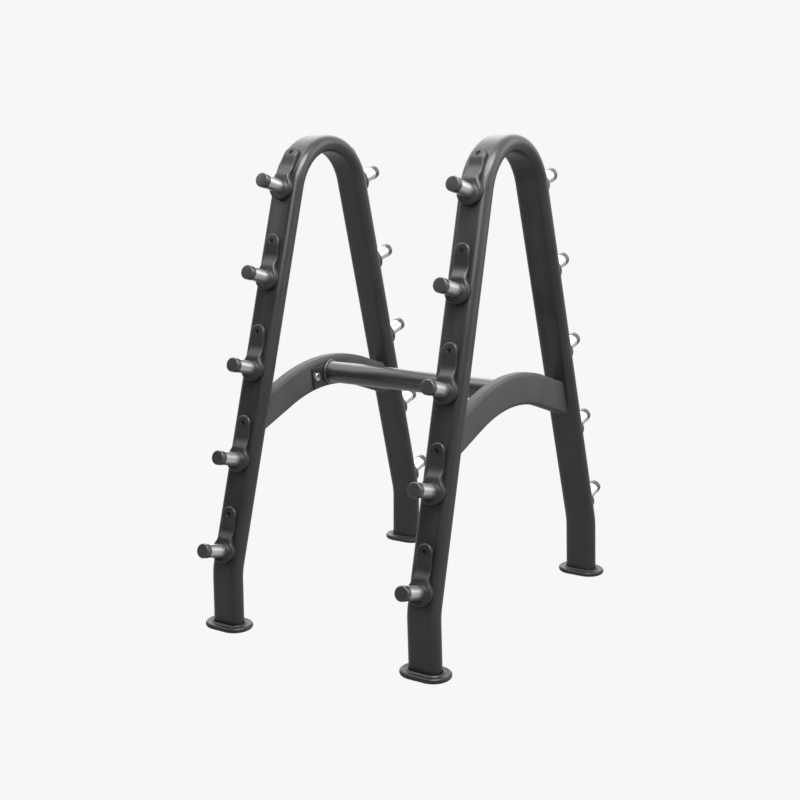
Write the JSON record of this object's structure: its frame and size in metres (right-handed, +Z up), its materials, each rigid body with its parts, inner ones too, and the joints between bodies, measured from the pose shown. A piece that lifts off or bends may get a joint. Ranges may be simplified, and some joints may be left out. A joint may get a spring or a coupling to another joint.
{
  "type": "barbell storage rack",
  "caption": "Free-standing storage rack: two A-shaped tube frames braced by arches and a cross tube, with capped pegs and guards on the legs that hold barbells lying across both frames.",
  "frame": {"origin": "on the floor, under the middle of the rack", "axes": "+Z up; the two frames stand at +X (right) and -X (left); the pegs point to the front, -Y, and to the back, +Y; a stored bar lies along X"},
  "size_m": [0.843, 1.1944, 1.4325],
  "materials": {
    "frame": "satin graphite powder coat",
    "chrome": "finely turned bright plating",
    "moulding": "fine-grained black moulding",
    "rubber": "matte black rubber",
    "zinc": "bright zinc plating",
    "cap": "black rubber cap with a grained end"
  },
  "bodies": {
    "root": {"right_frame_tube": "frame", "right_arch": "frame", "right_end_plate": "frame", "left_frame_tube": "frame", "left_arch": "frame", "left_end_plate": "frame", "cross_tube": "frame", "right_front_bolt": "zinc", "right_front_weld_nut": "zinc", "right_front_foot": "rubber", "right_front_guard_1": "moulding", "right_front_peg_1": "chrome", "right_front_guard_2": "moulding", "right_front_peg_2": "chrome", "right_front_guard_3": "moulding", "right_front_peg_3": "chrome", "right_front_guard_4": "moulding", "right_front_peg_4": "chrome", "right_front_guard_5": "moulding", "right_front_peg_5": "chrome", "right_rear_bolt": "zinc", "right_rear_weld_nut": "zinc", "right_rear_foot": "rubber", "right_rear_guard_1": "moulding", "right_rear_peg_1": "chrome", "right_rear_guard_2": "moulding", "right_rear_peg_2": "chrome", "right_rear_guard_3": "moulding", "right_rear_peg_3": "chrome", "right_rear_guard_4": "moulding", "right_rear_peg_4": "chrome", "right_rear_guard_5": "moulding", "right_rear_peg_5": "chrome", "left_front_bolt": "zinc", "left_front_weld_nut": "zinc", "left_front_foot": "rubber", "left_front_guard_1": "moulding", "left_front_peg_1": "chrome", "left_front_guard_2": "moulding", "left_front_peg_2": "chrome", "left_front_guard_3": "moulding", "left_front_peg_3": "chrome", "left_front_guard_4": "moulding", "left_front_peg_4": "chrome", "left_front_guard_5": "moulding", "left_front_peg_5": "chrome", "left_rear_bolt": "zinc", "left_rear_weld_nut": "zinc", "left_rear_foot": "rubber", "left_rear_guard_1": "moulding", "left_rear_peg_1": "chrome", "left_rear_guard_2": "moulding", "left_rear_peg_2": "chrome", "left_rear_guard_3": "moulding", "left_rear_peg_3": "chrome", "left_rear_guard_4": "moulding", "left_rear_peg_4": "chrome", "left_rear_guard_5": "moulding", "left_rear_peg_5": "chrome"}
  },
  "joints": []
}
